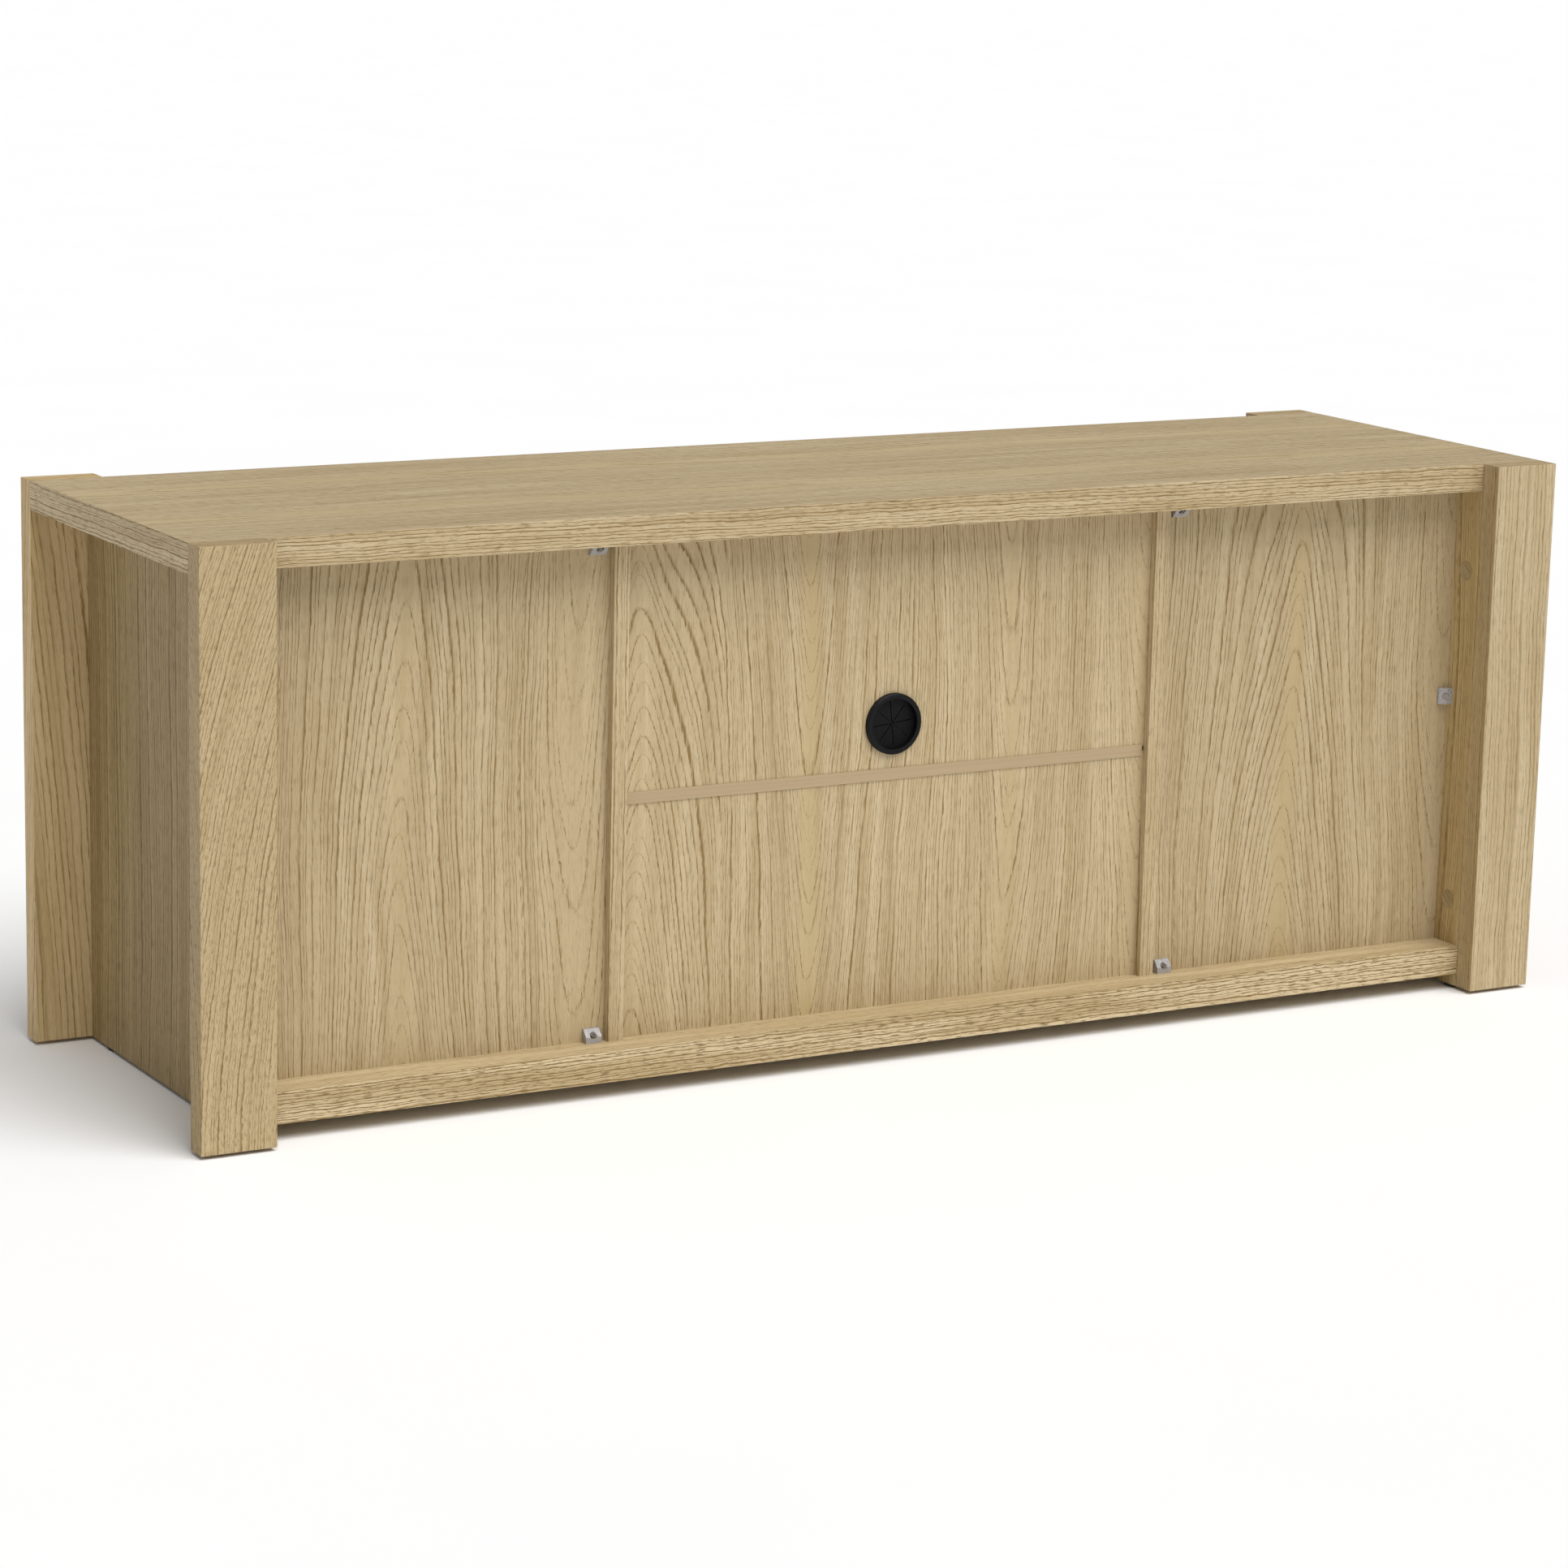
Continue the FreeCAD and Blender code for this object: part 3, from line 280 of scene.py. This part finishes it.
    boost = g.math("MULTIPLY_ADD", broad, -edge, 1.0 + edge)
    pale = g.math("MULTIPLY_ADD", g.math("SUBTRACT", patch, 0.5),
                  g.math("MULTIPLY", boost, cloud), 0.5, clamp=True)
    base = g.blend(pale, shade(*DARK_GROUND), shade(*PALE_GROUND))
    base = g.blend(g.math("SUBTRACT", 1.0, share), base, shade(*CLEAR_GROUND))
    base = g.blend(g.ramp(streak, *STREAKS, 0.0, STREAK_INK), base, shade(*STREAK_BROWN))
    ink = g.math("MULTIPLY", g.math("MULTIPLY", line, boost), LINE_INK * lines, clamp=True)
    colour = g.blend(ink, base, shade(*RING_BROWN))
    fleck = g.math("MULTIPLY", g.math("MULTIPLY", pores, boost), PORE_INK * dashes, clamp=True)
    colour = g.blend(g.math("MULTIPLY", fleck, share), colour, shade(*PORE_BROWN))
    # painted shade: the edges are darkened and browned, and the broad faces are left as they
    # are
    if edge_tone != 1.0:
        tint = tuple(edge_tone * channel for channel in EDGE_SHADE_TINT) + (1.0,)
        colour = g.blend(g.math("SUBTRACT", 1.0, broad), colour, tint, "MULTIPLY")

    height = g.math("MULTIPLY_ADD", line, LINE_DEPTH, pores)
    height = g.math("MULTIPLY", height, g.math("MULTIPLY", boost, -1.0))
    rough = g.math("MULTIPLY_ADD", pores, 0.15, 0.5)
    return g.surface(Base_Color=colour, Roughness=rough, Normal=g.bump(height, 0.35, 0.00025),
                     Specular_IOR_Level=0.3)


# ---------------------------------------------------------------- other materials
def moulded(name, colour, rough, grain=900.0, strength=0.15, **extra):
    """Plastic or rubber with a fine moulded grain and slightly uneven gloss."""
    g = Graph(name)
    place = g.object_place()
    fine = g.noise(place, grain, 3.0)
    broad = g.noise(place, 40.0, 2.0)
    tint = g.blend(g.ramp(broad, 0.3, 0.7), colour, darker(colour, 0.82))
    gloss = g.ramp(broad, 0.2, 0.8, rough - 0.05, rough + 0.07)
    return g.surface(Base_Color=tint, Roughness=gloss, Normal=g.bump(fine, strength, 0.0002),
                     **extra)


def metal(name, colour, rough, metallic=1.0):
    """Metal with level brush lines, worn in patches. Painted metal has a metallic of 0."""
    g = Graph(name)
    place = g.object_place()
    brushed = g.noise(g.vector("MULTIPLY", place, (1.0, 1.0, 8.0)), 300.0, 3.0)
    worn = g.noise(place, 60.0, 3.0)
    tint = g.blend(g.ramp(worn, 0.3, 0.75), colour, darker(colour, 0.7))
    gloss = g.ramp(brushed, 0.2, 0.8, rough - 0.08, rough + 0.1)
    return g.surface(Base_Color=tint, Roughness=gloss, Metallic=metallic,
                     Normal=g.bump(brushed, 0.12, 0.0002))


def clear(name):
    """Slightly hazy clear plastic with a rippled skin."""
    g = Graph(name)
    place = g.object_place()
    ripple = g.noise(place, 260.0, 3.0)
    haze = g.noise(place, 120.0, 2.0)
    tint = g.blend(g.ramp(haze, 0.3, 0.7), (0.92, 0.88, 0.86, 1.0), (0.80, 0.76, 0.74, 1.0))
    return g.surface(Base_Color=tint, Roughness=g.ramp(haze, 0.2, 0.8, 0.15, 0.35), IOR=1.49,
                     Transmission_Weight=0.6, Normal=g.bump(ripple, 0.5, 0.001))


def drawn_strip(name, colour, rough):
    """Plastic strip in the foil's colour, with faint drawn lines along X."""
    g = Graph(name)
    drawn = g.noise(g.vector("MULTIPLY", g.object_place(), (3.0, 400.0, 400.0)), 1.0, 2.0)
    tint = g.blend(g.ramp(drawn, 0.3, 0.7), colour, darker(colour, 0.93))
    gloss = g.ramp(drawn, 0.2, 0.8, rough - 0.04, rough + 0.05)
    return g.surface(Base_Color=tint, Roughness=gloss, Normal=g.bump(drawn, 0.08, 0.0002))


# ---------------------------------------------------------------- dress the CAD nodes
def dress(material, *names):
    for name in names:
        mesh = NODES[name].data
        mesh.materials.clear()
        mesh.materials.append(material)


def board(name, grain, face, seed, *names, **settings):
    dress(oak(name, grain, face, seed, **settings), *names)


board("oak_top", "x", "z", 1.3, "top_panel",
      leaves=(Leaf(-0.10, 0.02, 0.03, 5.0, 0.5), Leaf(0.08, 0.02, -0.03, 5.0, 0.5)),
      joints=(0.0,), dashes=1.25, lines=1.4, edge=0.4)
board("oak_bottom", "x", "z", 2.1, "bottom_panel",
      leaves=(Leaf(-0.05, 0.02, 0.03, 5.0, 0.4),), lines=1.3, edge=1.8, tone=1.03)
# tone 0.84 and warm 1.2 paint this panel darker and browner: painted shade of its outer face,
# which looks away from the key light
board("oak_side_right", "z", "x", 3.4, "side_panel_right",
      leaves=(Leaf(0.13, 0.02, 0.05, 5.0, 0.5),), tone=0.84, warm=1.2, lines=1.7, cloud=2.6,
      dashes=1.3)
# warm 0.9 paints this panel browner: painted warm shade on its inner face, which looks away
# from the key light
board("oak_side_left", "z", "x", 4.2, "side_panel_left",
      leaves=(Leaf(-0.03, 0.02, 0.05, 5.0, 0.5),), warm=0.9, tone=0.99)

# On the legs the edge setting paints shade on the narrow faces, darker and browner than the
# broad ones
board("oak_leg_a", "z", "y", 5.1, "leg_rear_right",
      leaves=(Leaf(0.50, 0.02, 0.0, 4.0, 0.0),), length=0.5, lean=0.06, curve=0.24, cloud=0.9,
      lines=0.85, dashes=1.5, sway=0.5, edge=0.2, edge_tone=0.9, tone=0.97, warm=0.3)
board("oak_leg_b", "z", "y", 6.3, "leg_rear_left",
      leaves=(Leaf(-0.60, 0.03, 0.02, 4.5, 0.0),), lines=0.8, edge=0.2, edge_tone=0.92,
      tone=0.99)
# tone 1.10 and warm 0.4 paint this leg lighter and browner: painted fill light and warm shade
# on a leg that the top shades
board("oak_leg_c", "z", "y", 7.7, "leg_front_right",
      leaves=(Leaf(0.90, 0.03, 0.0, 7.0, 0.0),), lines=0.9, lean=-0.09, dashes=0.7, edge=0.2,
      edge_tone=0.92, tone=1.10, warm=0.4)
board("oak_leg_d", "z", "y", 8.9, "leg_front_left",
      leaves=(Leaf(-0.62, 0.03, 0.05, 4.5, 0.0),), edge=0.2, edge_tone=0.92)

board("oak_partition_a", "z", "x", 9.6, "partition_right",
      leaves=(Leaf(0.05, 0.03, 0.04, 5.0, 0.5),), edge=0.1)
board("oak_partition_b", "z", "x", 10.4, "partition_left",
      leaves=(Leaf(-0.02, 0.03, 0.04, 5.0, 0.5),), edge=0.1)

board("oak_back_a", "z", "y", 11.2, "back_panel_right",
      leaves=(Leaf(0.34, 0.03, -0.05, 3.9, 0.2), Leaf(0.516, 0.010, 0.08, 4.0, 0.3)),
      joints=(0.375,), tone=0.98)
board("oak_back_b", "z", "y", 12.7, "back_panel_upper", "back_panel_lower",
      leaves=(Leaf(-0.29, 0.02, -0.08, 4.0, 0.2), Leaf(-0.13, 0.010, -0.07, 4.1, 0.3),
              Leaf(0.093, 0.010, -0.12, 4.1, 0.7), Leaf(0.272, 0.012, 0.13, 3.4, 0.1)),
      joints=(-0.24, -0.04, 0.185))
board("oak_back_c", "z", "y", 13.3, "back_panel_left",
      leaves=(Leaf(-0.66, 0.03, -0.06, 3.9, 0.1), Leaf(-0.470, 0.010, 0.12, 4.1, 0.7)),
      joints=(-0.575,), tone=0.975)

board("oak_door_a", "z", "y", 14.2, "door_left", leaves=(Leaf(-0.47, 0.010, 0.12, 4.1, 0.7),))
board("oak_door_b", "z", "y", 15.8, "door_right", leaves=(Leaf(0.49, 0.010, 0.12, 4.1, 0.7),))
board("oak_shelf_a", "x", "z", 16.3, "shelf_left", leaves=(Leaf(0.0, 0.02, 0.04, 5.0, 0.5),))
board("oak_shelf_b", "x", "z", 17.5, "shelf_centre", leaves=(Leaf(0.03, 0.02, 0.04, 5.0, 0.5),))
board("oak_shelf_c", "x", "z", 18.1, "shelf_right", leaves=(Leaf(-0.04, 0.02, 0.04, 5.0, 0.5),))
# tone 0.9 and warm 0.5 paint the covers darker and browner: painted shade, like that on the
# shaded inner face they sit on
board("oak_covers", "y", "x", 19.4, "cam_covers",
      leaves=(Leaf(0.3, 0.02, 0.0, 4.0, 0.0),), lean=0.8, tone=0.9, warm=0.5)

dress(drawn_strip("joiner_tan", linear(178, 155, 120), 0.5), "back_joiner")
dress(moulded("grommet_black", linear(8, 8, 10), 0.5, Specular_IOR_Level=0.2), "grommet_ring")
dress(moulded("diaphragm_rubber", linear(6, 6, 7), 0.65, grain=600.0, strength=0.25,
              Specular_IOR_Level=0.2), "grommet_diaphragm")
dress(moulded("glide_black", linear(26, 26, 27), 0.5), "glides")
dress(clear("clip_clear"), "back_clips")
dress(clear("bumper_clear"), "door_bumpers")
dress(moulded("dowel_beech", linear(205, 178, 134), 0.7, grain=500.0), "dowels")
dress(metal("knob_black", linear(34, 34, 35), 0.45, metallic=0.0), "knob_left", "knob_right")
dress(metal("cam_zinc", (0.55, 0.55, 0.57, 1.0), 0.4), "cam_locks", "door_magnets")
dress(metal("plated_steel", (0.62, 0.62, 0.64, 1.0), 0.3),
      "back_clip_screws", "cam_bolts", "partition_screws", "shelf_pins",
      *(f"{piece}_{side}" for side in ("left", "right")
        for piece in ("hinge_frame_leaves", "hinge_door_leaves", "hinge_pins",
                      "hinge_frame_screws", "hinge_door_screws", "knob_screw", "magnet_plate")))

# ---------------------------------------------------------------- floor, light and camera
REACH = 120.0          # metres: far enough that the world past the floor's end is still white
floor_mesh = bpy.data.meshes.new("floor")
floor_mesh.from_pydata([(-REACH, -REACH, 0), (REACH, -REACH, 0), (REACH, REACH, 0),
                        (-REACH, REACH, 0)], [], [(0, 1, 2, 3)])
floor = bpy.data.objects.new("floor", floor_mesh)
scene.collection.objects.link(floor)
g = Graph("floor_white")
speck = g.noise(g.object_place(), 3.0, 2.0)
floor_mesh.materials.append(g.surface(
    Base_Color=g.blend(speck, (0.96, 0.96, 0.96, 1.0), (0.98, 0.98, 0.98, 1.0)), Roughness=0.9,
    Specular_IOR_Level=0.0))

# The world is white at the horizon, where it meets the floor, and dimmer above.
HORIZON_TOP, SKY_START = 0.03, 0.14          # the direction's share that points up
HORIZON_STRENGTH, SKY_STRENGTH = 1.0, 0.31
world = bpy.data.worlds.new("studio")
scene.world = world
world.use_nodes = True
tree = world.node_tree
background = tree.nodes["Background"]
way = tree.nodes.new("ShaderNodeSeparateXYZ")
tree.links.new(tree.nodes.new("ShaderNodeTexCoord").outputs["Generated"], way.inputs[0])
dimmer = tree.nodes.new("ShaderNodeMapRange")
for socket, value in zip(dimmer.inputs[1:5],
                         (HORIZON_TOP, SKY_START, HORIZON_STRENGTH, SKY_STRENGTH)):
    socket.default_value = value
tree.links.new(way.outputs[2], dimmer.inputs[0])
tree.links.new(dimmer.outputs[0], background.inputs[1])
background.inputs[0].default_value = (1.0, 1.0, 1.0, 1.0)

SUN_FROM = Vector((-0.12, 0.50, 0.858))
SUN_STRENGTH = 2.6
SUN_SPREAD = math.radians(50)
sun = bpy.data.lights.new("soft_key", "SUN")
sun.energy = SUN_STRENGTH
sun.angle = SUN_SPREAD
lamp = bpy.data.objects.new("soft_key", sun)
lamp.rotation_euler = SUN_FROM.to_track_quat("Z", "Y").to_euler()
scene.collection.objects.link(lamp)

# The camera is a fit to the photo's corners. Yaw is from -Y, and pitch from level.
CAMERA_PLACE = Vector((2.197, 3.843, 1.181))
YAW, PITCH, ROLL = (math.radians(a) for a in (-29.43, -12.06, 1.32))
FOCAL_SHARE = 5592 / 1932      # focal length over the picture's width
SENSOR_MM = 36.0
ahead = Vector((math.sin(YAW) * math.cos(PITCH), -math.cos(YAW) * math.cos(PITCH),
                math.sin(PITCH)))
level_right = ahead.cross(Vector((0, 0, 1))).normalized()
level_up = level_right.cross(ahead)
right = level_right * math.cos(ROLL) + level_up * math.sin(ROLL)
up = level_up * math.cos(ROLL) - level_right * math.sin(ROLL)
lens = bpy.data.cameras.new("camera")
lens.sensor_width = SENSOR_MM
lens.lens = SENSOR_MM * FOCAL_SHARE
camera = bpy.data.objects.new("camera", lens)
camera.matrix_world = (Matrix.Translation(CAMERA_PLACE)
                       @ Matrix((right, up, -ahead)).transposed().to_4x4())
scene.collection.objects.link(camera)
scene.camera = camera
scene.view_settings.view_transform = "Standard"
